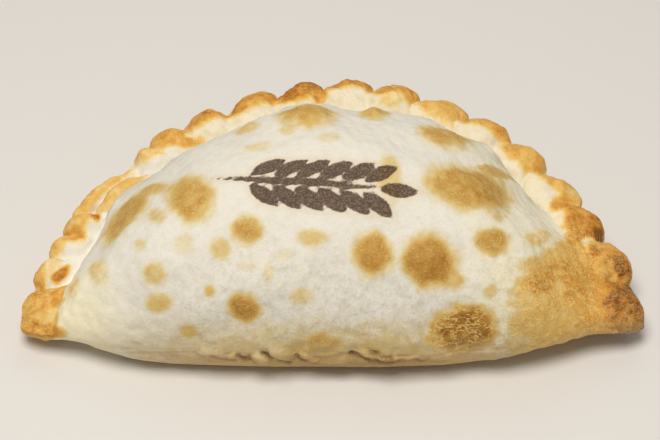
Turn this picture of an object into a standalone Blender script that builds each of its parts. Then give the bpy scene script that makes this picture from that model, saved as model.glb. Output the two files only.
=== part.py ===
"""Beef empanada: a round of dough folded over its filling, crimped and baked.

The fold faces -Y, the crimped edge runs round the back from tip to tip, and
the flat base stands on Z = 0 under the origin. +X is the length. Metres.

The crust is one closed surface. A UV sphere with its poles at the two tips
gives the mesh, and every vertex is moved to its place: one angle of the sphere
runs from tip to tip, and the other runs round the section, from the fold over
the filling, down to the crimp, round its outer edge and back under the base.

Seen from above, the crimped edge is nearly an arc about the disc's centre. A
place on it is given by its angle round that centre, from the left tip, and by
its inset, the distance inside the disc's edge.
"""

from math import pi, radians, sin

import bmesh
import bpy
import numpy as np

MM = 0.001

# The folded disc, seen from above
DISC_RADIUS = 64.8 * MM
SHOULDER_POWER = 1.84
TIP_ANGLE = radians(3.0)
FOLD_BULGE = 11.2 * MM
DISC_CENTRE_Y = FOLD_BULGE - DISC_RADIUS * sin(TIP_ANGLE)
# Where the disc's edge pulls in: angle, spread (degrees), amount (mm)
DISC_HOLLOWS = ((74.0, 14.0, 1.2), (146.0, 12.0, 0.9))
# Where the fold is drawn in beside a tip: x, spread, amount (mm)
FOLD_WAISTS = ((-53.0, 8.0, 2.4), (54.0, 9.0, 3.8))

# Heights above the board
PEAK_HEIGHT = 34.4 * MM
TIP_HEIGHT = 8.0 * MM
FOLD_EDGE_HEIGHT = 8.5 * MM
LEFT_EDGE_HEIGHT = 4.5 * MM
RIGHT_EDGE_HEIGHT = 6.0 * MM
BACK_EDGE_RISE = 11.0 * MM
FLANGE_RISE = 2.0 * MM

# Filled body
CREASE_INSET = 10.8 * MM
TIP_CREASE_INSET = 7.2 * MM
CREASE_FADE = 6.0 * MM
BACK_SHOULDER = 32.0 * MM
FRONT_SHOULDER = 33.0 * MM
TIP_SHOULDER = 4.0 * MM
# Where the crease wanders: angle, spread (degrees), inset added (mm)
CREASE_WANDERS = (
    (34.0, 7.0, -2.2),
    (50.0, 4.0, -1.4),
    (61.0, 4.0, 1.0),
    (79.0, 5.0, -1.0),
    (94.0, 6.0, 2.2),
    (114.0, 5.0, -0.9),
    (130.0, 5.0, -2.4),
    (160.0, 9.0, -2.4),
)
# Swells of the filling: x, distance from the fold, radius, rise (mm)
SWELLS = (
    (-8.0, 54.0, 9.0, 1.8),
    (6.0, 52.0, 8.0, -3.0),
    (31.0, 50.0, 12.0, 3.2),
    (-30.0, 40.0, 12.0, 0.8),
    (12.0, 22.0, 14.0, 0.7),
    (-22.0, 16.0, 12.0, -0.7),
    (40.0, 20.0, 12.0, 0.8),
)

# Underside
FRONT_ROLL = 6.0 * MM
CRIMP_ROLL = 5.0 * MM
CRIMP_THICKNESS = 4.0 * MM
CRIMP_OVERHANG = 24.0 * MM
# The base leaves the board beside the left tip and towards the right one (mm)
LEFT_ARCH_X, LEFT_ARCH_SPREAD, LEFT_ARCH = -54.0 * MM, 7.0 * MM, 3.0 * MM
RIGHT_ARCH_X, RIGHT_ARCH_LENGTH, RIGHT_ARCH = 18.0 * MM, 34.0 * MM, 4.6 * MM
RIGHT_TIP_X, RIGHT_TIP_LENGTH, RIGHT_TIP_DROP = 56.0 * MM, 7.0 * MM, 1.6 * MM

# Crimp: valleys between its folds, in degrees round the disc, and fold sizes
VALLEYS = (48.5, 56.5, 66.0, 77.0, 87.0, 97.0, 107.0, 117.5, 128.0, 138.0, 148.5, 157.5, 167.5)
FOLD_SIZES = (0.96, 1.06, 0.95, 1.08, 0.92, 1.04, 1.0, 1.07, 0.94, 1.0, 1.12, 0.98)
FOLD_INSET = 5.0 * MM
FOLD_REACH = 5.0 * MM
INNER_REACH = 1.6
FOLD_HEIGHT = 4.4 * MM
FOLD_OVERLAP = 1.42
FOLD_SLANT = 28.0
FOLD_LEAN = 0.4
# Folds of the left end and of the right tip: angle (degrees), inset, outward
# reach, half width, height (mm) and slant (degrees)
END_FOLDS = (
    (5.0, 6.0, 6.0, 6.8, 3.6, 30.0),
    (13.5, 4.8, 4.8, 5.0, 3.6, 35.0),
    (20.0, 4.8, 4.6, 4.6, 3.6, 30.0),
    (26.0, 5.2, 5.0, 4.8, 3.8, 35.0),
    (35.5, 4.0, 8.6, 3.4, 3.8, 84.0),
    (35.5, 7.0, 8.4, 3.2, 4.6, 84.0),
    (47.0, 5.0, 4.6, 3.8, 4.0, 30.0),
    (174.5, 6.2, 6.2, 7.2, 5.0, 10.0),
)
VALLEY_OUTLINE = -1.5 * MM
TIP_FADE = sin(radians(12.0))

# Mesh
STATIONS = 100
BODY_STEPS = 16
CRIMP_STEPS = 12
BASE_STEPS = 16
CREASE_BLEND = 0.3 * MM

CRUST_COLOUR = (0.72, 0.60, 0.40, 1.0)
CRUST_ROUGHNESS = 0.62


def smooth_step(value):
    """Zero below 0, one above 1, and smooth between."""
    value = np.clip(value, 0.0, 1.0)
    return value * value * (3.0 - 2.0 * value)


def half_wave(value):
    """From 0 to 1 with close steps at both ends."""
    return (1.0 - np.cos(pi * np.clip(value, 0.0, 1.0))) / 2.0


def bell(value):
    return np.exp(-value ** 2)


def roll(distance, radius):
    """Zero at an edge, one at the radius: a quarter of an ellipse."""
    return np.sqrt(1.0 - (1.0 - np.clip(distance / radius, 0.0, 1.0)) ** 2)


def soft_max(first, second):
    """The larger of two heights, with the corner between them eased."""
    return (first + second + np.hypot(first - second, CREASE_BLEND)) / 2.0


def disc_radius(angle):
    """Distance from the disc's centre to its edge, round with flatter shoulders."""
    sides = np.abs(np.cos(angle)) ** SHOULDER_POWER + np.abs(np.sin(angle)) ** SHOULDER_POWER
    radius = DISC_RADIUS * sides ** (-1.0 / SHOULDER_POWER)
    for middle, spread, amount in DISC_HOLLOWS:
        radius = radius - amount * MM * bell((np.degrees(angle) - middle) / spread)
    return radius


def crimp_folds():
    """Every fold of the crimp: angle, inset, outward reach, half width, height, slant."""
    folds = [(radians(angle), *(size * MM for size in sizes), radians(slant))
             for angle, *sizes, slant in END_FOLDS]
    for start, end, size in zip(VALLEYS, VALLEYS[1:], FOLD_SIZES):
        half_width = FOLD_OVERLAP * radians(end - start) / 2.0 * DISC_RADIUS
        folds.append((radians(start + end) / 2.0, FOLD_INSET, FOLD_REACH,
                      half_width, size * FOLD_HEIGHT, radians(FOLD_SLANT)))
    return folds


def crimp_height(angle, inset):
    """Height of the crimp's folds over its outer edge.

    A fold is half an ellipsoid, higher towards its right side, where it laps
    over the start of the next one.
    """
    height = np.zeros_like(angle)
    for fold_angle, fold_inset, reach, half_width, rise, slant in crimp_folds():
        round_way = (angle - fold_angle) * DISC_RADIUS
        inward = inset - fold_inset
        along = round_way * sin(slant) + inward * np.cos(slant)
        along = along / np.where(along < 0.0, reach, reach * INNER_REACH)
        across = (round_way * np.cos(slant) - inward * sin(slant)) / half_width
        cap = np.sqrt(np.clip(1.0 - along ** 2 - across ** 2, 0.0, None))
        height = soft_max(height, rise * cap * (1.0 + FOLD_LEAN * across))
    return height


def crimp_outline(angle):
    """How far the outermost fold reaches past the disc's edge at an angle."""
    outline = np.full_like(angle, VALLEY_OUTLINE)
    for fold_angle, fold_inset, reach, half_width, _, slant in crimp_folds():
        offset = (angle - fold_angle) * DISC_RADIUS
        sine, cosine = sin(slant), np.cos(slant)
        square = (cosine / reach) ** 2 + (sine / half_width) ** 2
        linear = 2.0 * offset * sine * cosine * (reach ** -2 - half_width ** -2)
        constant = offset ** 2 * ((sine / reach) ** 2 + (cosine / half_width) ** 2) - 1.0
        inside = linear ** 2 - 4.0 * square * constant
        outward = (linear + np.sqrt(np.clip(inside, 0.0, None))) / (2.0 * square)
        outline = np.where(inside > 0.0, np.maximum(outline, outward - fold_inset), outline)
    return outline


def edge_height(angle):
    """Height of the crimp's outer edge."""
    tips = LEFT_EDGE_HEIGHT + (RIGHT_EDGE_HEIGHT - LEFT_EDGE_HEIGHT) * angle / pi
    return tips + BACK_EDGE_RISE * np.sin(angle) ** 1.3


def inside_crease(angle, inset):
    """Distance inside the crease, where the filled body leaves the crimp."""
    crease = TIP_CREASE_INSET + (CREASE_INSET - TIP_CREASE_INSET) * np.sin(angle) ** 0.8
    distance = inset - crease
    for middle, spread, amount in CREASE_WANDERS:
        local = amount * MM * bell((np.degrees(angle) - middle) / spread)
        distance = distance - local * np.exp(-np.clip(distance, 0.0, None) / CREASE_FADE)
    return distance


def swell_height(x, y):
    """Unevenness of the crust over the filling."""
    height = np.zeros_like(x)
    for centre_x, centre_y, radius, rise in SWELLS:
        distance = np.hypot(x - centre_x * MM, y - centre_y * MM)
        height = height + rise * MM * bell(distance / (radius * MM))
    return height


def fold_line(turn):
    """The front edge from tip to tip, a flat superellipse drawn in beside each tip."""
    half_length = DISC_RADIUS * np.cos(TIP_ANGLE)
    x = -half_length * np.sign(np.cos(turn)) * np.abs(np.cos(turn)) ** 0.8
    y = FOLD_BULGE * (1.0 - np.sin(turn) ** 1.05)
    for middle, spread, amount in FOLD_WAISTS:
        y = y + amount * MM * bell((x / MM - middle) / spread) * np.sin(turn)
    return x, y


def crimp_share(length):
    """The crimp's share of a station."""
    return np.minimum((CREASE_INSET + 1.0 * MM) / np.maximum(length, MM), 0.45)


def station_point(turn, across):
    """A place seen from above, and the distance from the fold to the crimp there.

    A station leaves the fold and meets the crimp at right angles, so near a
    tip it is an arc round that tip. Across runs from 0 at the fold to 1.
    """
    fold_x, fold_y = fold_line(turn)
    angle = TIP_ANGLE + turn * (1.0 - 2.0 * TIP_ANGLE / pi)
    outward_x, outward_y = -np.cos(angle), np.sin(angle)
    crimp_x = disc_radius(angle) * outward_x
    crimp_y = disc_radius(angle) * outward_y + DISC_CENTRE_Y
    length = np.hypot(crimp_x - fold_x, crimp_y - fold_y)
    lean = 0.8 * np.cos(turn)
    start_pull = length * across * (1.0 - across) ** 2
    end_pull = length * across ** 2 * (across - 1.0)
    blend = smooth_step(across)
    x = fold_x + (crimp_x - fold_x) * blend + start_pull * lean + end_pull * outward_x
    y = fold_y + (crimp_y - fold_y) * blend + start_pull * np.sqrt(1.0 - lean ** 2) + end_pull * outward_y
    share = crimp_share(length)
    stretch = np.clip((across - 1.0 + share) / share, 0.0, 1.0) ** 1.5
    stretch = stretch * crimp_outline(angle) * smooth_step(np.sin(turn) / TIP_FADE)
    return x + stretch * outward_x, y + stretch * outward_y, length


def top_height(x, y, angle, inset, full):
    """Height of the crust's upper side, before the fold rounds it off."""
    edge = edge_height(angle)
    flange = edge + FLANGE_RISE * smooth_step((inset - 2.5 * MM) / (6.0 * MM))
    peak = TIP_HEIGHT + (PEAK_HEIGHT - TIP_HEIGHT) * full ** 0.7 + swell_height(x, y)
    inside = np.clip(inside_crease(angle, inset) / BACK_SHOULDER, 0.0, 1.0)
    body = flange + (peak - flange) * (1.0 - (1.0 - inside) ** 2) ** 0.6
    return soft_max(edge + crimp_height(angle, inset), body)


def hull_height(x, angle, inset, full):
    """Height of the crust's underside, before its edges are rounded off."""
    overhang = (edge_height(angle) - CRIMP_THICKNESS) * smooth_step(1.0 - inset / CRIMP_OVERHANG)
    arch = LEFT_ARCH * bell((x - LEFT_ARCH_X) / LEFT_ARCH_SPREAD)
    arch = arch + RIGHT_ARCH * smooth_step((x - RIGHT_ARCH_X) / RIGHT_ARCH_LENGTH)
    arch = arch - RIGHT_TIP_DROP * smooth_step((x - RIGHT_TIP_X) / RIGHT_TIP_LENGTH)
    return np.maximum(overhang * full, arch)


def crust_surface(turn, across, upper):
    """World coordinates of the crust's vertices, with y measured from the fold."""
    x, y, length = station_point(turn, across)
    angle = np.clip(np.arctan2(y - DISC_CENTRE_Y, -x), 0.0, pi)
    inset = disc_radius(angle) - np.hypot(x, y - DISC_CENTRE_Y)
    full = np.sin(turn)
    from_fold, from_crimp = across * length, (1.0 - across) * length
    fold_edge = LEFT_EDGE_HEIGHT + (FOLD_EDGE_HEIGHT - LEFT_EDGE_HEIGHT) * full
    shoulder = TIP_SHOULDER + (FRONT_SHOULDER - TIP_SHOULDER) * full ** 1.5
    top = top_height(x, y, angle, inset, full)
    top = fold_edge + (top - fold_edge) * roll(from_fold, shoulder)
    hull = hull_height(x, angle, inset, full)
    under_crimp = (edge_height(angle) - hull) * (1.0 - roll(from_crimp, CRIMP_ROLL))
    under_fold = (fold_edge - hull) * (1.0 - roll(from_fold, FRONT_ROLL))
    bottom = hull + np.maximum(under_crimp, under_fold)
    return x, y, np.where(upper, top, bottom)


def section_place(share, length):
    """Where a share of the way round the section is: across, and upper side or not."""
    steps = BODY_STEPS + CRIMP_STEPS + BASE_STEPS
    body_end = BODY_STEPS / steps
    top_end = body_end + CRIMP_STEPS / steps
    crimp = crimp_share(length)
    over_body = (1.0 - crimp) * half_wave(share / body_end)
    over_crimp = 1.0 - crimp + crimp * half_wave((share - body_end) / (top_end - body_end))
    under = 1.0 - half_wave((share - top_end) / (1.0 - top_end))
    upper = share <= top_end
    across = np.where(upper, np.where(share <= body_end, over_body, over_crimp), under)
    return across, upper


def build_crust():
    """The crust's mesh, from a UV sphere whose poles become the tips."""
    shape = bmesh.new()
    steps = BODY_STEPS + CRIMP_STEPS + BASE_STEPS
    bmesh.ops.create_uvsphere(shape, u_segments=steps, v_segments=STATIONS, radius=1.0)
    place = np.array([vertex.co[:] for vertex in shape.verts])
    turn = np.arccos(np.clip(place[:, 2], -1.0, 1.0))
    step = np.rint(np.arctan2(place[:, 1], place[:, 0]) / (2.0 * pi) * steps)
    length = station_point(turn, np.zeros_like(turn))[2]
    across, upper = section_place(np.mod(step, steps) / steps, length)
    x, y, z = crust_surface(turn, across, upper)
    middle_y = (y.min() + y.max()) / 2.0
    for vertex, point in zip(shape.verts, zip(x, y - middle_y, z)):
        vertex.co = point
    mesh = bpy.data.meshes.new("empanada")
    shape.to_mesh(mesh)
    shape.free()
    mesh.shade_smooth()
    return mesh


def crust_material():
    material = bpy.data.materials.new("baked_dough")
    material.use_nodes = True
    shader = material.node_tree.nodes["Principled BSDF"]
    shader.inputs["Base Color"].default_value = CRUST_COLOUR
    shader.inputs["Roughness"].default_value = CRUST_ROUGHNESS
    shader.inputs["Metallic"].default_value = 0.0
    return material


def main():
    for item in list(bpy.data.objects):
        bpy.data.objects.remove(item, do_unlink=True)
    collection = bpy.data.collections.new("beef_empanada")
    bpy.context.scene.collection.children.link(collection)
    crust = bpy.data.objects.new("empanada", build_crust())
    crust.data.materials.append(crust_material())
    collection.objects.link(crust)


if __name__ == "__main__":
    main()
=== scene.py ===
"""Looks of the beef empanada: a finely modelled crust, its baked dough, the light and the camera.

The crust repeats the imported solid's rules at a higher resolution and adds what
is too small for it: the twist of the crimp's folds, blisters, wrinkles and the
burnt mark. Lengths are in millimetres up to the last step, which makes metres.
"""

from collections import namedtuple
from math import cos, pi, radians, sin

import bmesh
import bpy
import numpy as np
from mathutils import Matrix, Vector


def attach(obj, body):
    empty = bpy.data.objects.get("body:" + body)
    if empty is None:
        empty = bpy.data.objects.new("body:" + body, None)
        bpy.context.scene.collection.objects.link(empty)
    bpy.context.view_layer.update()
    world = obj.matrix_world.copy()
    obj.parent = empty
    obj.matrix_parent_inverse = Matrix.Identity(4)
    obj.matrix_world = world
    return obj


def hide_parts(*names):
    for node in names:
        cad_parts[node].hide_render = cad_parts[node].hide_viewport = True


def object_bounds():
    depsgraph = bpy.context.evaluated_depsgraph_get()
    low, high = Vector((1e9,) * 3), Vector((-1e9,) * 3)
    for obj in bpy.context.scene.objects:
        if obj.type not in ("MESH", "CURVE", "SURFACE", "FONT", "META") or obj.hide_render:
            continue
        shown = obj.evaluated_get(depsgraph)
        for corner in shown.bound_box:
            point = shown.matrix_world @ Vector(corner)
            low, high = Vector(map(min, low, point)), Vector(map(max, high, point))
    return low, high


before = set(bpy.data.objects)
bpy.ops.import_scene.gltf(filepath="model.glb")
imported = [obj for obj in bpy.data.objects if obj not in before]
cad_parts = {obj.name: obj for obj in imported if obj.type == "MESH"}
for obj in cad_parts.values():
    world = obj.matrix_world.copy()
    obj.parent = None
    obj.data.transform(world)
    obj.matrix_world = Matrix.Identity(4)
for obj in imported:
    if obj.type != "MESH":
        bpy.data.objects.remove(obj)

MM = 0.001
NODE = "empanada"
CAD_LOW, CAD_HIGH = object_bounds()

# --- The folded disc, seen from above. Angles run round its centre from the left tip.
DISC_RADIUS = 64.8
SHOULDER_POWER = 1.84
TIP_ANGLE = radians(3.0)
FOLD_BULGE = 11.2
DISC_CENTRE_Y = FOLD_BULGE - DISC_RADIUS * sin(TIP_ANGLE)
DISC_HOLLOWS = ((74.0, 14.0, 1.2), (146.0, 12.0, 0.9))
FOLD_WAISTS = ((-53.0, 8.0, 2.4), (54.0, 9.0, 3.8))

# --- Heights above the board
PEAK_HEIGHT = 34.4
TIP_HEIGHT = 8.0
FOLD_EDGE_HEIGHT = 8.5
LEFT_EDGE_HEIGHT = 4.5
RIGHT_EDGE_HEIGHT = 6.0
BACK_EDGE_RISE = 11.0
FLANGE_RISE = 2.0

# --- Filled body
CREASE_INSET = 10.8
TIP_CREASE_INSET = 7.2
CREASE_FADE = 6.0
BACK_SHOULDER = 32.0
FRONT_SHOULDER = 33.0
TIP_SHOULDER = 4.0
CREASE_WANDERS = (
    (34.0, 7.0, -2.2),
    (50.0, 4.0, -1.4),
    (61.0, 4.0, 1.0),
    (79.0, 5.0, -1.0),
    (94.0, 6.0, 2.2),
    (114.0, 5.0, -0.9),
    (130.0, 5.0, -2.4),
    (160.0, 9.0, -2.4),
)
SWELLS = (
    (-8.0, 54.0, 9.0, 1.8),
    (6.0, 52.0, 8.0, -3.0),
    (31.0, 50.0, 12.0, 3.2),
    (-30.0, 40.0, 12.0, 0.8),
    (12.0, 22.0, 14.0, 0.7),
    (-22.0, 16.0, 12.0, -0.7),
    (40.0, 20.0, 12.0, 0.8),
)

# --- Underside
FRONT_ROLL = 6.0
CRIMP_ROLL = 5.0
CRIMP_THICKNESS = 4.0
CRIMP_OVERHANG = 24.0
LEFT_ARCH_X, LEFT_ARCH_SPREAD, LEFT_ARCH = -54.0, 7.0, 3.0
RIGHT_ARCH_X, RIGHT_ARCH_LENGTH, RIGHT_ARCH = 18.0, 34.0, 4.6
RIGHT_TIP_X, RIGHT_TIP_LENGTH, RIGHT_TIP_DROP = 56.0, 7.0, 1.6

# --- Crimp. Valleys between the folds in degrees; then each fold's size, how brown it
# is and how far in the brown reaches (from -1 at its outer end to 1 at its inner end).
VALLEYS = (48.5, 56.5, 66.0, 77.0, 87.0, 97.0, 107.0, 117.5, 128.0, 138.0, 148.5, 157.5, 167.5)
FOLDS = (
    (0.94, 0.60, 0.00),
    (1.00, 0.66, 0.00),
    (0.92, 0.70, 0.05),
    (0.86, 0.82, 0.20),
    (0.94, 0.70, -0.15),
    (1.00, 0.62, 0.12),
    (0.98, 0.48, 0.35),
    (1.04, 0.68, -0.15),
    (0.96, 0.54, 0.20),
    (1.00, 0.48, -0.05),
    (1.06, 0.76, 0.90),
    (0.98, 0.62, 0.50),
)
Fold = namedtuple("Fold", "angle inset reach half_width rise slant brown brown_reach")
FOLD_INSET = 5.0
FOLD_REACH = 5.0
INNER_REACH = 1.4
FOLD_HEIGHT = 4.3
FOLD_OVERLAP = 1.52
FOLD_SLANT = 28.0
FOLD_TWIST = 0.85
FOLD_SHIFT = radians(-0.6)
CREST = 0.25
# Folds of the left end and the right tip: angle, inset, outward reach, half width,
# height, slant, brownness, reach of the brown
END_FOLDS = (
    (5.0, 6.0, 6.0, 6.8, 3.6, 30.0, 0.60, 0.90),
    (13.5, 4.8, 4.8, 5.0, 3.8, 35.0, 0.28, 0.00),
    (20.0, 4.8, 4.6, 4.6, 3.8, 30.0, 0.40, -0.30),
    (26.0, 5.2, 5.0, 4.8, 4.0, 35.0, 0.50, 0.00),
    (35.0, 2.4, 8.8, 2.7, 3.4, 84.0, 0.46, 0.60),
    (36.0, 6.8, 8.4, 2.9, 4.4, 84.0, 0.42, 0.60),
    (47.0, 5.0, 4.6, 3.8, 4.0, 30.0, 0.46, 0.10),
    (174.5, 6.2, 6.2, 7.2, 5.0, 10.0, 0.80, 0.90),
)
VALLEY_OUTLINE = -1.5
OUTLINE_REACH, OUTLINE_STEPS = 6.0, 500
TIP_FADE = sin(radians(12.0))
CREASE_BLEND = 0.3
# At its two ends the crimp runs smoothly into the body.
LEFT_BLEND_ANGLE, LEFT_BLEND = radians(17.0), 3.0
RIGHT_BLEND_ANGLE, RIGHT_BLEND = radians(142.0), 2.8
BLEND_TURN = radians(12.0)
BODY_STEEPNESS, RIGHT_STEEPNESS = 0.6, 1.0

# --- Baked spots: x, distance up the crust from the fold line, width, height, tilt
# (degrees), brownness, and how far the blister stands up
SPOTS = (
    (24.0, 56.0, 12.0, 12.0, -25.0, 0.60, 1.0),
    (28.0, 38.0, 18.0, 13.0, -8.0, 0.68, 0.5),
    (34.5, 32.0, 4.5, 7.0, -20.0, 0.30, 0.0),
    (34.0, 45.0, 9.0, 6.0, 0.0, 0.54, 0.2),
    (32.0, 24.5, 7.6, 6.6, 0.0, 0.66, 0.3),
    (19.4, 20.6, 11.4, 10.2, -20.0, 0.80, 0.5),
    (24.2, 16.8, 5.0, 4.0, -35.0, 0.45, 0.0),
    (8.0, 21.9, 8.2, 8.8, 0.0, 0.76, 0.4),
    (11.6, 39.0, 5.0, 12.0, 0.0, 0.36, 0.2),
    (31.5, 14.0, 3.2, 2.8, 0.0, 0.40, 0.1),
    (26.0, 5.5, 15.0, 11.5, 12.0, 0.92, 0.3),
    (10.8, 3.9, 5.6, 4.0, 0.0, 0.36, 0.2),
    (-1.9, 2.9, 7.6, 6.0, 0.0, 0.58, 0.3),
    (8.9, 66.5, 7.0, 9.0, 0.0, 0.50, 1.5),
    (-5.4, 61.5, 12.5, 13.0, 0.0, 0.62, 1.5),
    (-18.0, 59.0, 6.0, 5.0, 10.0, 0.42, 0.3),
    (-9.4, 54.7, 3.6, 4.4, 0.0, 0.32, 0.1),
    (-0.7, 50.5, 4.6, 4.0, 0.0, 0.20, 0.0),
    (-15.5, 48.9, 5.6, 3.4, 0.0, 0.24, 0.0),
    (-29.0, 35.0, 9.6, 12.5, 10.0, 0.62, 0.5),
    (-42.8, 30.8, 18.5, 7.0, 62.0, 0.62, 0.2),
    (-37.6, 38.2, 8.0, 5.0, 10.0, 0.50, 0.2),
    (-35.8, 30.1, 4.6, 4.0, 0.0, 0.38, 0.1),
    (-38.5, 22.7, 2.4, 2.6, 0.0, 0.26, 0.0),
    (-29.8, 23.9, 4.2, 4.6, 0.0, 0.16, 0.0),
    (-22.4, 23.0, 4.2, 4.6, 0.0, 0.40, 0.1),
    (-17.1, 27.0, 6.4, 6.0, 0.0, 0.62, 0.3),
    (-4.2, 25.3, 6.4, 3.6, -5.0, 0.38, 0.2),
    (-47.7, 15.2, 5.0, 5.6, 0.0, 0.31, 0.2),
    (-53.0, 11.2, 2.8, 6.0, 0.0, 0.28, 0.1),
    (-35.4, 17.2, 4.8, 4.4, 0.0, 0.44, 0.2),
    (-34.8, 11.4, 5.4, 4.2, 25.0, 0.44, 0.2),
    (-24.4, 14.4, 2.4, 2.4, 0.0, 0.46, 0.1),
    (-17.6, 11.0, 6.6, 6.4, -20.0, 0.78, 0.4),
    (-6.3, 13.5, 4.6, 3.6, 0.0, 0.30, 0.1),
    (-28.9, 5.1, 4.0, 4.2, 0.0, 0.44, 0.1),
    (42.0, 24.6, 7.0, 4.4, 0.0, 0.30, 0.1),
    (-12.7, 18.2, 2.2, 4.2, 0.0, 0.20, 0.0),
    (-9.6, 21.8, 4.2, 2.2, 0.0, 0.13, 0.0),
    (-16.8, 19.5, 4.6, 2.0, 0.0, 0.12, 0.0),
    (-51.0, 4.0, 13.0, 9.0, 0.0, 0.10, 0.0),
)

# --- Places browner or paler than their surroundings, the same way: x, up, width,
# height, tilt, brownness there
PATCHES = (
    (-54.8, 28.1, 5.1, 6.9, 0.0, 0.68),
    (-57.1, 15.8, 6.4, 2.0, 57.0, 0.84),
    (-58.7, 8.6, 6.0, 4.0, 0.0, 0.70),
    (-57.6, 4.6, 2.4, 4.2, 0.0, 0.44),
    (-60.0, 4.2, 3.0, 2.4, 0.0, 0.46),
    (-60.0, 0.9, 10.0, 4.2, 0.0, 0.72),
    (-62.8, 3.4, 2.4, 4.6, 0.0, 0.60),
    (-50.6, 35.1, 2.4, 3.0, 0.0, 0.84),
    (42.5, 15.5, 10.0, 5.5, 15.0, 0.70),
    (49.5, 12.5, 4.0, 12.0, 10.0, 0.68),
    (38.1, 6.6, 6.0, 6.0, 0.0, 0.46),
    (46.0, 0.6, 18.0, 3.0, 0.0, 0.46),
    (54.6, 21.5, 2.2, 3.4, 20.0, 0.80),
    (57.3, 28.0, 3.4, 4.8, 0.0, 0.98),
    (57.4, 16.5, 5.0, 3.6, 0.0, 0.50),
    (60.9, 19.4, 4.2, 6.0, 0.0, 1.00),
    (-32.0, 70.3, 9.0, 4.0, 20.0, 0.58),
    (-3.0, 87.0, 4.0, 6.0, 0.0, 0.62),
    (12.8, 84.7, 5.0, 4.0, 0.0, 0.30),
    (50.6, 24.5, 3.6, 6.0, 0.0, 0.66),
    (49.3, 36.3, 5.4, 5.0, 0.0, 0.66),
)
CRACKLED_SPOT = (26.0, 5.5, 15.0, 11.5, 12.0)

# --- Tucks, small pillows of dough at the foot of the front: x, up, width, height, tilt,
# and how far they stand out
TUCKS = (
    (-24.0, -0.6, 7.0, 2.2, -8.0, 0.5),
    (-19.3, -1.6, 5.2, 3.0, -20.0, 0.6),
    (-14.6, -1.7, 4.8, 3.2, -25.0, 1.0),
    (-10.4, -0.3, 5.6, 3.6, -30.0, 1.0),
    (-5.2, -1.8, 6.0, 3.0, -25.0, 0.8),
    (0.6, -2.8, 8.0, 2.0, 4.0, 0.6),
    (7.0, -1.2, 6.4, 3.6, -22.0, 0.6),
    (11.4, -1.0, 5.6, 3.4, -25.0, 0.9),
    (16.4, -1.6, 7.4, 2.6, -8.0, 0.6),
    (22.4, -1.2, 6.6, 2.0, 6.0, 0.5),
)
TUCK_SHADOW = 0.22
# The slanting creases between them: x and up of both ends, and how deep
FOOT_CREASES = (
    (-24.5, -1.0, -19.8, -2.6, 0.5),
    (-19.3, -0.8, -15.4, -3.2, 0.8),
    (-14.2, 0.2, -11.4, -1.6, 1.0),
    (-11.4, -1.6, -8.8, -3.6, 1.0),
    (-7.3, -1.0, -5.3, -2.7, 1.0),
    (-5.3, -2.7, -3.0, -4.0, 0.7),
    (3.8, -0.2, 7.6, -1.6, 0.9),
    (7.6, -1.6, 13.4, -1.5, 0.9),
    (7.8, 0.4, 12.0, -0.3, 0.6),
    (13.8, -1.2, 20.5, -2.4, 0.6),
)
CREASE_WIDTH = 0.55

# --- Burnt mark: an ear of wheat
MARK_PLACE = (-5.0, 37.5)
MARK_TILT = radians(-6.0)
MARK_DEPTH = 0.25
GRAIN_PAIRS = 6
GRAIN_PITCH = 4.6
GRAIN_LENGTH, GRAIN_WIDTH = 8.0, 3.3
GRAIN_TILT = radians(36.0)
GRAIN_OFFSET = 3.7
STALK_WIDTH = 1.7

# --- Mesh
STATIONS = 420
BODY_STEPS = 112
CRIMP_STEPS = 74
BASE_STEPS = 46
STEPS = BODY_STEPS + CRIMP_STEPS + BASE_STEPS
FINE_TURNS, MIDDLE_DENSITY, MIDDLE_SPREAD = 4001, 1.3, 0.25
FOOT_CLOSENESS = 1.6


# ---------------------------------------------------------------- curves and noise

def smooth_step(value):
    """Zero below 0, one above 1, and smooth between."""
    value = np.clip(value, 0.0, 1.0)
    return value * value * (3.0 - 2.0 * value)


def half_wave(value):
    """From 0 to 1 with close steps at both ends."""
    return (1.0 - np.cos(pi * np.clip(value, 0.0, 1.0))) / 2.0


def bell(value):
    return np.exp(-value ** 2)


def roll(distance, radius):
    """Zero at an edge, one at the radius: a quarter of an ellipse."""
    return np.sqrt(1.0 - (1.0 - np.clip(distance / radius, 0.0, 1.0)) ** 2)


def soft_max(first, second, blend=CREASE_BLEND):
    """The larger of two heights, with the corner between them eased."""
    return (first + second + np.hypot(first - second, blend)) / 2.0


def waves(place, wavelength, seed, count=26):
    """Smooth unevenness about zero: plane waves of mixed directions and lengths."""
    source = np.random.default_rng(seed)
    direction = source.normal(size=(count, place.shape[-1]))
    direction /= np.linalg.norm(direction, axis=1, keepdims=True)
    number = direction * (2.0 * pi / wavelength) * source.uniform(0.65, 1.5, (count, 1))
    phase = source.uniform(0.0, 2.0 * pi, count)
    return np.cos(place @ number.T + phase).sum(-1) / np.sqrt(count / 2.0)


# ---------------------------------------------------------------- shape of the crust

def disc_radius(angle):
    """Distance from the disc's centre to its edge, round with flatter shoulders."""
    sides = np.abs(np.cos(angle)) ** SHOULDER_POWER + np.abs(np.sin(angle)) ** SHOULDER_POWER
    radius = DISC_RADIUS * sides ** (-1.0 / SHOULDER_POWER)
    for middle, spread, amount in DISC_HOLLOWS:
        radius = radius - amount * bell((np.degrees(angle) - middle) / spread)
    return radius


def crimp_folds():
    folds = [Fold(radians(angle), *sizes, radians(slant), brown, brown_reach)
             for angle, *sizes, slant, brown, brown_reach in END_FOLDS]
    for start, end, (size, brown, brown_reach) in zip(VALLEYS, VALLEYS[1:], FOLDS):
        middle = radians(start + end) / 2.0 + FOLD_SHIFT
        half_width = FOLD_OVERLAP * radians(end - start) / 2.0 * DISC_RADIUS
        folds.append(Fold(middle, FOLD_INSET, FOLD_REACH, half_width, size * FOLD_HEIGHT,
                          radians(FOLD_SLANT), brown, brown_reach))
    return folds


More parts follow.
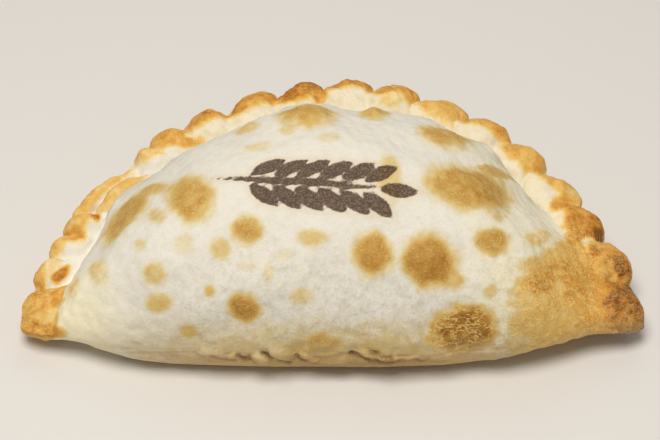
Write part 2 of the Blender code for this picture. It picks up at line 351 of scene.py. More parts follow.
def fold_place(fold, angle, inset):
    """Where a place lies on a fold: along it, from -1 outside to 1 inside, and across it."""
    inward = inset - fold.inset
    round_way = (angle - fold.angle) * DISC_RADIUS - FOLD_TWIST * np.clip(inward, 0.0, None)
    along = round_way * sin(fold.slant) + inward * cos(fold.slant)
    across = round_way * cos(fold.slant) - inward * sin(fold.slant)
    return along / np.where(along < 0.0, fold.reach, fold.reach * INNER_REACH), across / fold.half_width


def fold_room(along, across):
    """One at a fold's crest and zero at its rim; the crest lies to the right of its middle."""
    sideways = (across - CREST) / np.where(across < CREST, 1.0 + CREST, 1.0 - CREST)
    lengthways = np.where(along < 0.0, along ** 2, np.clip(along, 0.0, 1.0) ** 1.5)
    return np.clip(1.0 - sideways ** 2 - lengthways, 0.0, None)


def crimp_relief(angle, inset):
    """Height of the crimp's folds over its outer edge, and how brown they are.

    A fold rises gently from the left and inside, and drops steeply on its right,
    where it laps over the next one.
    """
    height = np.zeros_like(angle)
    brown = np.zeros_like(angle)
    for fold in crimp_folds():
        along, across = fold_place(fold, angle, inset)
        steepness = 0.42 + 0.36 * smooth_step(along * 1.6) + 0.3 * np.clip(CREST - across, 0.0, 1.0)
        rise = fold.rise * fold_room(along, across) ** steepness
        shade = fold.brown * smooth_step((0.5 * across - along + fold.brown_reach + 0.25) / 0.5)
        shade = shade * smooth_step((across + 0.55) / 0.45)
        brown = brown + (shade - brown) * smooth_step((rise - height) / 0.7 + 0.5)
        height = soft_max(height, rise)
    return height, brown


def crimp_outline(angle):
    """How far the outermost fold reaches past the disc's edge at each station."""
    outside = np.linspace(OUTLINE_REACH, VALLEY_OUTLINE, OUTLINE_STEPS)[None, :]
    room = np.zeros((len(angle), OUTLINE_STEPS))
    for fold in crimp_folds():
        room = np.maximum(room, fold_room(*fold_place(fold, angle[:, :1], -outside)))
    room[:, -1] = 1.0
    first = np.argmax(room > 0.0, axis=1)
    return outside[0, first][:, None] + np.zeros_like(angle)


def edge_height(angle):
    """Height of the crimp's outer edge."""
    tips = LEFT_EDGE_HEIGHT + (RIGHT_EDGE_HEIGHT - LEFT_EDGE_HEIGHT) * angle / pi
    return tips + BACK_EDGE_RISE * np.sin(angle) ** 1.3


def inside_crease(angle, inset):
    """Distance inside the crease, where the filled body leaves the crimp."""
    crease = TIP_CREASE_INSET + (CREASE_INSET - TIP_CREASE_INSET) * np.sin(angle) ** 0.8
    distance = inset - crease
    for middle, spread, amount in CREASE_WANDERS:
        local = amount * bell((np.degrees(angle) - middle) / spread)
        distance = distance - local * np.exp(-np.clip(distance, 0.0, None) / CREASE_FADE)
    return distance


def swell_height(x, y):
    """Unevenness of the crust over the filling."""
    height = np.zeros_like(x)
    for centre_x, centre_y, radius, rise in SWELLS:
        height = height + rise * bell(np.hypot(x - centre_x, y - centre_y) / radius)
    return height


def fold_line(turn):
    """The front edge from tip to tip, a flat superellipse drawn in beside each tip."""
    half_length = DISC_RADIUS * cos(TIP_ANGLE)
    x = -half_length * np.sign(np.cos(turn)) * np.abs(np.cos(turn)) ** 0.8
    y = FOLD_BULGE * (1.0 - np.sin(turn) ** 1.05)
    for middle, spread, amount in FOLD_WAISTS:
        y = y + amount * bell((x - middle) / spread) * np.sin(turn)
    return x, y


def crimp_share(length):
    """The crimp's share of a station."""
    return np.minimum((CREASE_INSET + 1.0) / np.maximum(length, 1.0), 0.45)


def station_point(turn, across):
    """A place seen from above, and the distance from the fold to the crimp there."""
    fold_x, fold_y = fold_line(turn)
    angle = TIP_ANGLE + turn * (1.0 - 2.0 * TIP_ANGLE / pi)
    outward_x, outward_y = -np.cos(angle), np.sin(angle)
    crimp_x = disc_radius(angle) * outward_x
    crimp_y = disc_radius(angle) * outward_y + DISC_CENTRE_Y
    length = np.hypot(crimp_x - fold_x, crimp_y - fold_y)
    lean = 0.8 * np.cos(turn)
    start_pull = length * across * (1.0 - across) ** 2
    end_pull = length * across ** 2 * (across - 1.0)
    blend = smooth_step(across)
    x = fold_x + (crimp_x - fold_x) * blend + start_pull * lean + end_pull * outward_x
    y = fold_y + (crimp_y - fold_y) * blend + start_pull * np.sqrt(1.0 - lean ** 2) + end_pull * outward_y
    share = crimp_share(length)
    stretch = np.clip((across - 1.0 + share) / share, 0.0, 1.0) ** 1.5
    stretch = stretch * crimp_outline(angle) * smooth_step(np.sin(turn) / TIP_FADE)
    return x + stretch * outward_x, y + stretch * outward_y, length


def station_turns():
    """The stations from tip to tip, closer together in the middle, where the fold line runs fastest."""
    turn = np.linspace(0.0, pi, FINE_TURNS)
    density = 1.0 + MIDDLE_DENSITY * bell(np.cos(turn) / MIDDLE_SPREAD)
    way = np.concatenate([[0.0], np.cumsum((density[1:] + density[:-1]) / 2.0)])
    return np.interp(np.linspace(0.0, way[-1], STATIONS + 1), way, turn)


def section_place(share, length):
    """Where a share of the way round the section is: across, and upper side or not."""
    body_end = BODY_STEPS / STEPS
    top_end = body_end + CRIMP_STEPS / STEPS
    crimp = crimp_share(length)
    over_body = (1.0 - crimp) * half_wave(share / body_end)
    over_crimp = 1.0 - crimp + crimp * half_wave((share - body_end) / (top_end - body_end))
    from_fold = np.clip((1.0 - share) / (1.0 - top_end), 0.0, 1.0)
    under = half_wave(from_fold ** FOOT_CLOSENESS)
    upper = share <= top_end
    across = np.where(upper, np.where(share <= body_end, over_body, over_crimp), under)
    return across, upper


def hull_height(x, angle, inset, full):
    """Height of the crust's underside, before its edges are rounded off."""
    overhang = (edge_height(angle) - CRIMP_THICKNESS) * smooth_step(1.0 - inset / CRIMP_OVERHANG)
    arch = LEFT_ARCH * bell((x - LEFT_ARCH_X) / LEFT_ARCH_SPREAD)
    arch = arch + RIGHT_ARCH * smooth_step((x - RIGHT_ARCH_X) / RIGHT_ARCH_LENGTH)
    arch = arch - RIGHT_TIP_DROP * smooth_step((x - RIGHT_TIP_X) / RIGHT_TIP_LENGTH)
    return np.maximum(overhang * full, arch)


class Crust:
    """The crust on a grid: one row for each station, one column for each step round it."""

    def __init__(self):
        turn = station_turns()[:, None] + np.zeros((1, STEPS))
        share = np.arange(STEPS)[None, :] / STEPS + np.zeros((STATIONS + 1, 1))
        across, self.upper = section_place(share, station_point(turn, np.zeros_like(turn))[2])
        x, y, length = station_point(turn, across)
        self.angle = np.clip(np.arctan2(y - DISC_CENTRE_Y, -x), 0.0, pi)
        self.inset = disc_radius(self.angle) - np.hypot(x, y - DISC_CENTRE_Y)
        self.into_body = inside_crease(self.angle, self.inset)
        self.full = np.sin(turn)
        self.place = np.stack([x, y, self.height(x, y, across, length)], axis=-1)
        self.up = self.way_up()

    def height(self, x, y, across, length):
        """Height of the surface; also notes how much of it is crimp, and the crimp's browning."""
        full, angle, inset = self.full, self.angle, self.inset
        edge = edge_height(angle)
        from_fold, from_crimp = across * length, (1.0 - across) * length
        fold_edge = LEFT_EDGE_HEIGHT + (FOLD_EDGE_HEIGHT - LEFT_EDGE_HEIGHT) * full
        flange = edge + FLANGE_RISE * smooth_step((inset - 2.5) / 6.0)
        peak = TIP_HEIGHT + (PEAK_HEIGHT - TIP_HEIGHT) * full ** 0.7 + swell_height(x, y)
        inside = np.clip(self.into_body / BACK_SHOULDER, 0.0, 1.0)
        right = smooth_step((angle - RIGHT_BLEND_ANGLE) / BLEND_TURN)
        steepness = BODY_STEEPNESS + (RIGHT_STEEPNESS - BODY_STEEPNESS) * right
        body = flange + (peak - flange) * (1.0 - (1.0 - inside) ** 2) ** steepness
        relief, self.crimp_brown = crimp_relief(angle, inset)
        crimp = edge + relief
        self.on_crimp = smooth_step((crimp - body) / 0.8 + 0.5) * smooth_step(2.0 - self.into_body)
        shoulder = TIP_SHOULDER + (FRONT_SHOULDER - TIP_SHOULDER) * full ** 1.5
        joined = soft_max(crimp, body, self.end_blend())
        top = fold_edge + (joined - fold_edge) * roll(from_fold, shoulder)
        hull = hull_height(x, angle, inset, full)
        under_crimp = (edge - hull) * (1.0 - roll(from_crimp, CRIMP_ROLL))
        under_fold = (fold_edge - hull) * (1.0 - roll(from_fold, FRONT_ROLL))
        return np.where(self.upper, top, hull + np.maximum(under_crimp, under_fold))

    def end_blend(self):
        """How far the corner between crimp and body is eased: more at the two ends."""
        left = LEFT_BLEND * smooth_step((LEFT_BLEND_ANGLE - self.angle) / BLEND_TURN)
        right = RIGHT_BLEND * smooth_step((self.angle - RIGHT_BLEND_ANGLE) / BLEND_TURN)
        return CREASE_BLEND + (left + right) * smooth_step((self.inset - 3.0) / 4.0)

    def way_up(self):
        """Distance along the crust from the fold line: positive over the top, negative under it."""
        closed = np.concatenate([self.place, self.place[:, :1]], axis=1)
        step = np.linalg.norm(np.diff(closed, axis=1), axis=-1)
        way = np.concatenate([np.zeros((STATIONS + 1, 1)), np.cumsum(step, axis=1)], axis=1)
        return np.where(self.upper, way[:, :-1], way[:, :-1] - way[:, -1:])

    def normals(self):
        """Outward directions."""
        place = self.place
        along = np.gradient(place, axis=0)
        around = np.roll(place, -1, axis=1) - np.roll(place, 1, axis=1)
        normal = np.cross(along, around)
        length = np.linalg.norm(normal, axis=-1, keepdims=True)
        return np.where(length > 1e-9, normal / np.maximum(length, 1e-9), 0.0)

    def push(self, amount):
        """Moves the surface out by an amount, fading to nothing at the two poles."""
        fade = smooth_step(self.full / sin(radians(4.0)))
        self.place = self.place + self.normals() * (amount * fade)[..., None]


# ---------------------------------------------------------------- browning and relief

def spot_distance(crust, x, up, width, height, tilt):
    """Distance from a baked spot's middle, one at its edge."""
    slope = radians(tilt)
    right, above = crust.place[..., 0] - x, crust.up - up
    along = right * cos(slope) + above * sin(slope)
    aside = above * cos(slope) - right * sin(slope)
    return np.hypot(along / (width / 2.0), aside / (height / 2.0))


def browning(crust):
    """Browning of the whole crust: the body's spots, the two ends, the bottom and the folds."""
    x, up = crust.place[..., 0], crust.up
    wobble = 0.05 * waves(crust.place, 6.0, seed=3) + 0.03 * waves(crust.place, 2.5, seed=4)
    brown = np.zeros_like(x)
    for spot_x, spot_up, width, height, tilt, brownness, _ in SPOTS:
        distance = spot_distance(crust, spot_x, spot_up, width, height, tilt) + wobble
        brown = np.maximum(brown, brownness * smooth_step((1.35 - distance) / 0.8))
    right_end = smooth_step((x - right_edge(up + 12.0 * wobble) + 18.0 * wobble) / 11.0)
    brown = np.maximum(brown, right_end * (0.46 + 0.24 * smooth_step((x - 46.0) / 11.0)))
    left_tip = smooth_step((-55.5 - x + 8.0 * wobble) / 3.0)
    brown = np.maximum(brown, 0.60 * left_tip)
    # Browner towards the foot of the front: the baked bottom, and partly painted shade where the front turns
    # under.
    foot = np.clip((10.0 - up + 12.0 * wobble) / 12.0, 0.0, 1.0) * (0.12 + 0.48 * bell((x - 4.0) / 32.0))
    brown = np.maximum(brown, foot)
    folds = np.where(crust.upper, crust.crimp_brown, np.maximum(crust.crimp_brown, 0.5))
    tips = 0.66 * smooth_step((x - 51.5) / 3.0) * smooth_step((25.0 - up) / 4.0)
    tips = tips + 0.30 * smooth_step((x - 55.5) / 3.0) * smooth_step((17.0 - up) / 4.0)
    tips = tips + 0.60 * smooth_step((-59.0 - x) / 2.0)
    back = 0.09 * smooth_step((crust.angle - radians(45.0)) / radians(20.0))
    folds = np.maximum(folds, np.maximum(tips, back))
    brown = brown + (folds - brown) * crust.on_crimp
    for patch_x, patch_up, width, height, tilt, brownness in PATCHES:
        distance = spot_distance(crust, patch_x, patch_up, width, height, tilt) + 1.5 * wobble
        brown = brown + (brownness - brown) * smooth_step((1.3 - distance) / 0.7)
    return brown


def right_edge(up):
    """Where the browning of the right end begins."""
    return 30.5 + 14.0 * smooth_step((up - 18.5) / 6.0)


def crackling(crust):
    """Where the crust has dried into a coarse network: the right end and one spot."""
    x = crust.place[..., 0]
    spot = smooth_step((1.2 - spot_distance(crust, *CRACKLED_SPOT)) / 0.4)
    end = smooth_step((x - right_edge(crust.up)) / 6.0) * smooth_step((32.0 - crust.up) / 8.0)
    end = end * (1.0 - 0.6 * smooth_step((x - 53.0) / 3.0))
    left = 0.6 * smooth_step((-57.0 - x) / 2.0)
    return np.maximum(np.maximum(spot, end), left)


def crease_shade_line(crust):
    """Painted shade: the thin dark line where the filled body leaves the crimp."""
    middle = smooth_step((crust.full - 0.45) / 0.3)
    line = bell(crust.into_body / 0.7) + 0.5 * bell((crust.into_body - 2.4) / 1.4)
    return line * middle * np.where(crust.upper, 1.0, 0.0)


def blisters(crust):
    """Rise of the baked spots that have bubbled up."""
    rise = np.zeros_like(crust.up)
    for x, up, width, height, tilt, _, amount in SPOTS:
        distance = spot_distance(crust, x, up, width, height, tilt)
        rise = rise + amount * smooth_step((1.1 - distance) / 1.1)
    return rise * np.where(crust.upper, 1.0 - crust.on_crimp, 0.0)


def wrinkles(crust):
    """Long fine creases low on the front."""
    stretched = np.stack([crust.place[..., 0] / 6.0, crust.up / 1.2], axis=-1)
    creases = 1.0 - np.abs(waves(stretched, 2.0, seed=11, count=12))
    level = smooth_step((crust.up + 9.0) / 5.0) * smooth_step((9.0 - crust.up) / 9.0)
    return 0.20 * creases * level * smooth_step((48.0 - np.abs(crust.place[..., 0])) / 10.0)


def tucks(crust):
    """The pillows at the foot of the front: how far they stand out, and the painted shade round them.

    The painted shade is dark in the crevice at a pillow's lower left; on the pillow it is negative, a painted
    light.
    """
    rise, dark = np.zeros_like(crust.up), np.zeros_like(crust.up)
    wobble = 0.07 * waves(crust.place, 2.6, seed=31)
    for x, up, width, height, tilt, depth in TUCKS:
        distance = spot_distance(crust, x, up, width, height, tilt) + wobble
        room = np.clip(1.0 - distance ** 2, 0.0, 1.0)
        left, below = (x - crust.place[..., 0]) / width, (up - crust.up) / height
        crevice = 0.5 * bell((distance - 1.1) / TUCK_SHADOW) * smooth_step(0.5 + left + below)
        rise = np.maximum(rise, depth * np.sqrt(room))
        dark = np.where(room > 0.0, -depth * room, np.maximum(dark, depth * crevice))
    # The slanting creases are cut into the surface and also darken its colour as painted shade.
    creased = foot_creases(crust, wobble)
    return rise - 0.7 * creased, np.maximum(dark, creased)


def foot_creases(crust, wobble):
    """How deep the crust is in one of the slanting creases at the foot, from 0 to 1."""
    x, up = crust.place[..., 0] + 1.4 * wobble, crust.up + 2.6 * wobble
    creased = np.zeros_like(up)
    for start_x, start_up, end_x, end_up, depth in FOOT_CREASES:
        run, fall = end_x - start_x, end_up - start_up
        share = ((x - start_x) * run + (up - start_up) * fall) / (run ** 2 + fall ** 2)
        share = np.clip(share, 0.0, 1.0)
        aside = np.hypot(x - start_x - share * run, up - start_up - share * fall)
        creased = np.maximum(creased, depth * bell(aside / CREASE_WIDTH))
    return creased


def unevenness(crust):
    """Slow swells and fine puckers of the dough."""
    slow = 0.20 * waves(crust.place, 15.0, seed=21)
    puckers = 0.06 * waves(crust.place, 3.2, seed=22)
    twisted = np.stack([crust.angle * DISC_RADIUS - FOLD_TWIST * crust.inset, crust.inset / 5.0], axis=-1)
    strands = 0.05 * waves(twisted, 1.9, seed=23)
    lumps = 0.12 * waves(crust.place, 4.5, seed=24)
    return slow + puckers + crust.on_crimp * (strands + lumps)


def mark_distance(crust):
    """Signed distance to the burnt ear of wheat, negative inside it."""
    right = crust.place[..., 0] - MARK_PLACE[0]
    above = crust.up - MARK_PLACE[1]
    along = right * cos(MARK_TILT) + above * sin(MARK_TILT)
    aside = above * cos(MARK_TILT) - right * sin(MARK_TILT)

    def leaf(middle_along, middle_aside, tilt, length, width):
        forward = (along - middle_along) * cos(tilt) + (aside - middle_aside) * sin(tilt)
        sideways = (aside - middle_aside) * cos(tilt) - (along - middle_along) * sin(tilt)
        radius = (length ** 2 + width ** 2) / (4.0 * width)
        return np.hypot(forward, np.abs(sideways) + radius - width / 2.0) - radius

    ear_length = GRAIN_PAIRS * GRAIN_PITCH
    start = -ear_length / 2.0 + 3.0
    distance = leaf(start + 9.0, 0.0, 0.0, ear_length + 9.0, STALK_WIDTH)
    for pair in range(GRAIN_PAIRS):
        for side in (-1.0, 1.0):
            grain = leaf(start + (pair + 0.5) * GRAIN_PITCH, side * GRAIN_OFFSET, side * GRAIN_TILT,
                         GRAIN_LENGTH, GRAIN_WIDTH)
            distance = np.minimum(distance, grain)
    tip = leaf(start + ear_length + 1.6, 0.0, 0.0, GRAIN_LENGTH, GRAIN_WIDTH)
    distance = np.minimum(distance, tip)
    return np.where(crust.upper, np.clip(distance, -2.0, 6.0), 6.0)


# ---------------------------------------------------------------- mesh

def crust_mesh(crust, fields):
    """The grid as a mesh, from a UV sphere whose poles are the two tips."""
    shape = bmesh.new()
    bmesh.ops.create_uvsphere(shape, u_segments=STEPS, v_segments=STATIONS, radius=1.0)
    sphere = np.array([vertex.co[:] for vertex in shape.verts])
    station = np.rint(np.arccos(np.clip(sphere[:, 2], -1.0, 1.0)) / pi * STATIONS).astype(int)
    step = np.rint(np.arctan2(sphere[:, 1], sphere[:, 0]) / (2.0 * pi) * STEPS).astype(int) % STEPS
    mesh = bpy.data.meshes.new("crust")
    shape.to_mesh(mesh)
    shape.free()
    place = crust.place[station, step]
    low, high = place.min(axis=0), place.max(axis=0)
    scale = (CAD_HIGH.x - CAD_LOW.x) / (high[0] - low[0])
    middle = np.array([(low[0] + high[0]) / 2.0, (low[1] + high[1]) / 2.0, low[2]])
    foot = np.array([(CAD_LOW.x + CAD_HIGH.x) / 2.0, (CAD_LOW.y + CAD_HIGH.y) / 2.0, CAD_LOW.z])
    mesh.vertices.foreach_set("co", ((place - middle) * scale + foot).ravel())
    for name, values in fields.items():
        attribute = mesh.attributes.new(name, "FLOAT", "POINT")
        attribute.data.foreach_set("value", values[station, step].astype(np.float32))
    mesh.update()
    mesh.shade_smooth()
    return mesh


def build_crust():
    crust = Crust()
    mark = mark_distance(crust)
    tuck_rise, tuck_shade = tucks(crust)
    fields = {
        "brown": browning(crust),
        "tuck_light_and_shade": tuck_shade,
        "crimp": crust.on_crimp,
        "crackle": crackling(crust),
        "crease": crease_shade_line(crust),
        "mark": mark,
        "up": crust.up,
    }
    off_the_tray = np.where(crust.upper, 1.0, smooth_step((crust.place[..., 2] - 1.0) / 4.0))
    relief = blisters(crust) + wrinkles(crust) - unevenness(crust)
    relief = relief - MARK_DEPTH * smooth_step(-mark / 0.4 + 0.3)
    crust.push(relief * off_the_tray + tuck_rise)
    crust.place[..., 2] = np.maximum(crust.place[..., 2], 0.0)
    piece = bpy.data.objects.new("crust", crust_mesh(crust, fields))
    bpy.context.scene.collection.objects.link(piece)
    return piece


# ---------------------------------------------------------------- material

def colour(red, green, blue):
    """A colour given as it shows on screen, 0 to 255, made linear for the shader."""
    def linear(value):
        value = value / 255.0
        return value / 12.92 if value <= 0.04045 else ((value + 0.055) / 1.055) ** 2.4
    return (linear(red), linear(green), linear(blue), 1.0)


GREY_FLOUR = colour(206, 200, 180)
SPOT_RAMP = (
    (0.00, colour(233, 227, 213)),
    (0.22, colour(227, 210, 168)),
    (0.45, colour(214, 183, 112)),
    (0.70, colour(194, 147, 66)),
    (0.90, colour(171, 118, 38)),
    (1.00, colour(138, 90, 30)),
)
CRIMP_RAMP = (
    (0.00, colour(237, 232, 218)),
    (0.20, colour(238, 215, 160)),
    (0.45, colour(230, 186, 100)),
    (0.66, colour(214, 152, 58)),
    (0.85, colour(180, 112, 26)),
    (1.00, colour(134, 78, 20)),
)
CRACK = colour(250, 212, 128)
FOOT = colour(200, 172, 126)
FOOT_SHADE = colour(166, 134, 90)
TUCK_CREVICE_SHADE = colour(128, 98, 60)
TUCK_PILLOW_LIGHT = colour(212, 190, 150)
CREAM_LIGHT = colour(250, 240, 206)
CREASE_SHADE_TONE = colour(172, 158, 120)
SCORCH = colour(214, 176, 110)
BURN = colour(58, 36, 24)
BURN_LIGHT = colour(120, 92, 70)


STREAK_WIDTH = 0.045


class Graph:
    """A few short words for making shader nodes."""

    def __init__(self, tree):
        self.tree = tree

    def put(self, socket, value):
        if isinstance(value, bpy.types.NodeSocket):
            self.tree.links.new(value, socket)
        else:
            socket.default_value = value

    def node(self, kind, settings=None, **inputs):
        made = self.tree.nodes.new(kind)
        for name, value in (settings or {}).items():
            setattr(made, name, value)
        for name, value in inputs.items():
            self.put(made.inputs[name], value)
        return made

    def math(self, operation, first, second=0.0, third=0.0):
        made = self.tree.nodes.new("ShaderNodeMath")
        made.operation = operation
        for socket, value in zip(made.inputs, (first, second, third)):
            self.put(socket, value)
        return made.outputs[0]

    def between(self, value, low, high):
        """How far a value is from low to high, from 0 to 1, smoothly."""
        made = self.tree.nodes.new("ShaderNodeMapRange")
        made.interpolation_type = "SMOOTHSTEP"
        for name, number in (("Value", value), ("From Min", low), ("From Max", high)):
            self.put(made.inputs[name], number)
        return made.outputs[0]

    def mix(self, share, first, second, blend="MIX"):
        made = self.tree.nodes.new("ShaderNodeMix")
        made.data_type = "RGBA"
        made.blend_type = blend
        for index, value in ((0, share), (6, first), (7, second)):
            self.put(made.inputs[index], value)
        return made.outputs[2]

    def ramp(self, value, stops):
        made = self.tree.nodes.new("ShaderNodeValToRGB")
        self.put(made.inputs[0], value)
        points = made.color_ramp.elements
        while len(points) < len(stops):
            points.new(0.5)
        for point, (position, tone) in zip(points, stops):
            point.position = position
            point.color = tone
        return made.outputs[0]

    def field(self, name):
        return self.node("ShaderNodeAttribute", {"attribute_name": name}).outputs["Fac"]

    def noise(self, place, size, detail=3.0, roughness=0.55):
        """Cloudy noise with features of about this size in millimetres."""
        made = self.node("ShaderNodeTexNoise", Vector=place, Scale=1.0 / (size * MM),
                         Detail=detail, Roughness=roughness)
        return made.outputs[0]

    def streaks(self, place, size):
        """Thin wandering lines, about this far apart in millimetres."""
        offset = self.math("ABSOLUTE", self.math("SUBTRACT", self.noise(place, size, 2.0), 0.5))
        return self.between(offset, STREAK_WIDTH, 0.0)

    def stretch(self, place, x, y, z):
        return self.node("ShaderNodeMapping", Vector=place, Scale=(x, y, z)).outputs[0]

    def warp(self, place, size, amount):
        """The same places pushed about a little, in millimetres."""
        made = self.node("ShaderNodeTexNoise", Vector=place, Scale=1.0 / (size * MM), Detail=2.0)
        pushed = self.node("ShaderNodeVectorMath", {"operation": "MULTIPLY_ADD"})
        self.put(pushed.inputs[0], made.outputs[1])
        self.put(pushed.inputs[1], (amount * MM,) * 3)
        self.put(pushed.inputs[2], place)
        return pushed.outputs[0]


def baked_dough():
    material = bpy.data.materials.new("baked_dough")
    material.use_nodes = True
    graph = Graph(material.node_tree)
    shader = material.node_tree.nodes["Principled BSDF"]
    place = graph.node("ShaderNodeTexCoord").outputs["Object"]

    grain = graph.noise(place, 0.8, 4.0, 0.65)
    pebbles = graph.noise(place, 1.7, 3.0)
    blotches = graph.noise(place, 3.4, 3.0)
    specks = graph.noise(place, 0.42, 2.0)
    bent = graph.warp(place, 2.5, 1.5)
    level = graph.streaks(graph.stretch(bent, 0.38, 1.0, 1.0), 1.4)
    slanting = graph.streaks(graph.stretch(bent, 0.85, 1.1, 1.1), 1.9)
    streaks = graph.math("MAXIMUM", level, graph.math("MULTIPLY", slanting, 0.8))
    crimp = graph.field("crimp")
    x = graph.node("ShaderNodeSeparateXYZ", Vector=place).outputs[0]

    brown = graph.field("brown")
    warm = graph.math("MAXIMUM", crimp, graph.between(x, 33.0 * MM, 44.0 * MM))
    warm = graph.math("MAXIMUM", warm, graph.between(x, -43.0 * MM, -54.0 * MM))
    uneven = graph.math("MULTIPLY_ADD", crimp, 0.20, 0.38)
    uneven = graph.math("MULTIPLY", graph.between(brown, 0.03, 0.3), uneven)
    for noise, share in ((blotches, 1.0), (pebbles, 0.6), (grain, 0.4)):
        noise = graph.math("MULTIPLY", graph.math("SUBTRACT", noise, 0.5), share)
        brown = graph.math("MULTIPLY_ADD", noise, uneven, brown)
    spots = graph.ramp(brown, SPOT_RAMP)
    folds = graph.ramp(brown, CRIMP_RAMP)
    tone = graph.mix(warm, spots, folds)
    up = graph.field("up")
    # Painted light: paler, creamier dough low on the left and over the right of the body, where the lamps
    # leave it dimmer.
    low_left = graph.math("MULTIPLY", graph.between(x, -38.0 * MM, -52.0 * MM), graph.between(up, 20.0, 9.0))
    right = graph.math("MULTIPLY", graph.between(x, 20.0 * MM, 34.0 * MM), 0.6)
    painted_cream_light = graph.math("MULTIPLY", graph.math("MAXIMUM", low_left, right), graph.between(brown, 0.35, 0.10))
    painted_cream_light = graph.math("MULTIPLY", painted_cream_light, graph.math("SUBTRACT", 1.0, crimp))
    tone = graph.mix(graph.math("MULTIPLY", painted_cream_light, 0.8), tone, CREAM_LIGHT)

    foot = graph.math("MULTIPLY", graph.between(up, 5.0, -2.0), graph.between(x, -46.0 * MM, -26.0 * MM))
    tone = graph.mix(graph.math("MULTIPLY", foot, 0.55), tone, FOOT)
    # Darker towards the foot in the middle of the front: partly the browner baked bottom, partly painted
    # shade where the front turns under.
    foot_browning_and_shade = graph.math("MULTIPLY", graph.between(up, 1.0, -3.0), graph.between(x, -16.0 * MM, 2.0 * MM))
    foot_browning_and_shade = graph.math("MULTIPLY", foot_browning_and_shade, graph.between(x, 24.0 * MM, 12.0 * MM))
    tone = graph.mix(graph.math("MULTIPLY", foot_browning_and_shade, 0.4), tone, FOOT_SHADE)
    # Painted shade in the crevices beside the tucks and in the foot creases; painted light on the pillows.
    tuck_light_and_shade = graph.field("tuck_light_and_shade")
    tone = graph.mix(graph.math("MULTIPLY", graph.between(tuck_light_and_shade, 0.0, 0.7), 0.75), tone, TUCK_CREVICE_SHADE)
    tone = graph.mix(graph.math("MULTIPLY", graph.between(tuck_light_and_shade, 0.0, -0.9), 0.55), tone, TUCK_PILLOW_LIGHT)

    low_front = graph.between(up, 34.0, 4.0)
    low_front = graph.math("MULTIPLY", low_front, graph.between(x, -44.0 * MM, -18.0 * MM))
    pale = graph.between(brown, 0.45, 0.15)
    for noise, share in ((specks, 0.16), (grain, 0.26), (pebbles, 0.16), (blotches, 0.10)):
        share = graph.math("MULTIPLY", graph.math("MULTIPLY_ADD", low_front, share, 0.08), pale)
        share = graph.math("MULTIPLY", graph.between(noise, 0.45, 0.72), share)
        tone = graph.mix(share, tone, graph.mix(1.0, tone, GREY_FLOUR, "MULTIPLY"))

    browned = graph.between(brown, 0.30, 0.62)
    speckled = graph.math("MULTIPLY", graph.between(specks, 0.50, 0.70), browned)
    speckled = graph.math("MULTIPLY", speckled, graph.math("SUBTRACT", 1.0, graph.between(brown, 0.72, 1.25)))
    cracked = graph.math("MULTIPLY", streaks, graph.field("crackle"))
    cracked = graph.math("MULTIPLY", cracked, graph.between(brown, 0.22, 0.44))
    cracked = graph.math("MULTIPLY", cracked, graph.between(grain, 0.30, 0.48))
    share = graph.math("MULTIPLY_ADD", graph.between(brown, 0.65, 0.95), -0.4, 0.85)
    light = graph.mix(share, tone, CRACK)
    tone = graph.mix(graph.math("MULTIPLY", speckled, 0.5), tone, light)
    tone = graph.mix(cracked, tone, graph.mix(0.8, tone, CRACK))
    # Painted shade: a thin darker line along the crease where the body leaves the crimp, broken up by the
    # blotches.
    crease = graph.math("MULTIPLY", graph.field("crease"), graph.between(blotches, 0.35, 0.6))
    tone = graph.mix(graph.math("MULTIPLY", crease, 0.7), tone, CREASE_SHADE_TONE)

    mark = graph.math("MULTIPLY_ADD", graph.math("SUBTRACT", grain, 0.5), 0.7, graph.field("mark"))
    burnt = graph.between(mark, 0.22, -0.12)
    tone = graph.mix(graph.math("MULTIPLY", graph.between(mark, 1.8, 0.0), 0.25), tone, SCORCH)
    char = graph.mix(graph.between(specks, 0.42, 0.68), BURN, BURN_LIGHT)
    tone = graph.mix(graph.math("MULTIPLY", burnt, 0.92), tone, char)
    graph.put(shader.inputs["Base Color"], tone)

    rough = graph.math("SUBTRACT", 0.80, graph.math("MULTIPLY", browned, 0.22))
    rough = graph.math("MULTIPLY_ADD", graph.math("SUBTRACT", grain, 0.5), 0.15, rough)
    graph.put(shader.inputs["Roughness"], rough)
    shader.inputs["Specular IOR Level"].default_value = 0.28
    shader.inputs["Subsurface Weight"].default_value = 0.10
    shader.inputs["Subsurface Radius"].default_value = (1.0, 0.55, 0.25)
    shader.inputs["Subsurface Scale"].default_value = 1.5 * MM

    height = graph.math("MULTIPLY", grain, 0.7)
    height = graph.math("MULTIPLY_ADD", pebbles, 0.8, height)
    height = graph.math("MULTIPLY_ADD", speckled, 0.25, height)
    height = graph.math("MULTIPLY_ADD", cracked, 0.40, height)
    height = graph.math("MULTIPLY_ADD", burnt, -0.4, height)
    bump = graph.node("ShaderNodeBump", Strength=0.6, Distance=0.35 * MM, Height=height)
    graph.put(shader.inputs["Normal"], bump.outputs[0])
    return material


# ---------------------------------------------------------------- floor, light, camera

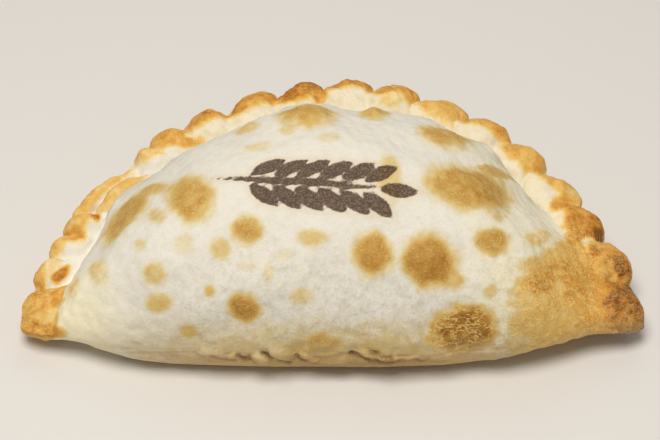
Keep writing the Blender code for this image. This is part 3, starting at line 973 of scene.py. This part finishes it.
def make_floor():
    floor_shape = bmesh.new()
    bmesh.ops.create_grid(floor_shape, x_segments=1, y_segments=1, size=3.0)
    mesh = bpy.data.meshes.new("floor")
    floor_shape.to_mesh(mesh)
    floor_shape.free()
    floor = bpy.data.objects.new("floor", mesh)
    bpy.context.scene.collection.objects.link(floor)
    floor.location.z = CAD_LOW.z
    material = bpy.data.materials.new("pale_floor")
    material.use_nodes = True
    shader = material.node_tree.nodes["Principled BSDF"]
    shader.inputs["Base Color"].default_value = colour(226, 222, 216)
    shader.inputs["Roughness"].default_value = 0.7
    mesh.materials.append(material)


def area_light(name, place, target, size, power, tint):
    lamp = bpy.data.lights.new(name, "AREA")
    lamp.shape = "DISK"
    lamp.size = size
    lamp.energy = power
    lamp.color = tint
    light = bpy.data.objects.new(name, lamp)
    bpy.context.scene.collection.objects.link(light)
    light.location = place
    light.rotation_euler = (Vector(target) - Vector(place)).to_track_quat("-Z", "Y").to_euler()


def light_studio():
    world = bpy.data.worlds.new("studio")
    bpy.context.scene.world = world
    world.use_nodes = True
    background = world.node_tree.nodes["Background"]
    background.inputs["Color"].default_value = (1.0, 0.98, 0.95, 1.0)
    background.inputs["Strength"].default_value = 0.25
    middle = (0.0, 0.0, 0.015)
    area_light("key", (-0.06, -0.14, 0.62), middle, 0.36, 3.2, (1.0, 0.975, 0.93))
    area_light("back", (0.05, 0.45, 0.50), middle, 0.50, 0.35, (1.0, 0.98, 0.95))


CAMERA_ELEVATION = radians(45.0)
CAMERA_DISTANCE = 0.411
CAMERA_LENS = 105.0
AIM_OFFSET = Vector((-0.5, -1.4, -5.3)) * MM


def make_camera():
    camera = bpy.data.cameras.new("camera")
    camera.lens = CAMERA_LENS
    camera.sensor_width = 36.0
    camera.clip_start = 0.01
    holder = bpy.data.objects.new("camera", camera)
    bpy.context.scene.collection.objects.link(holder)
    aim = (CAD_LOW + CAD_HIGH) / 2.0 + AIM_OFFSET
    back = Vector((0.0, -cos(CAMERA_ELEVATION), sin(CAMERA_ELEVATION)))
    holder.location = aim + back * CAMERA_DISTANCE
    holder.rotation_euler = (pi / 2.0 - CAMERA_ELEVATION, 0.0, 0.0)
    bpy.context.scene.camera = holder
    bpy.context.scene.view_settings.view_transform = "Standard"


piece = build_crust()
piece.data.materials.append(baked_dough())
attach(piece, "root")
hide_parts(NODE)
make_floor()
light_studio()
make_camera()
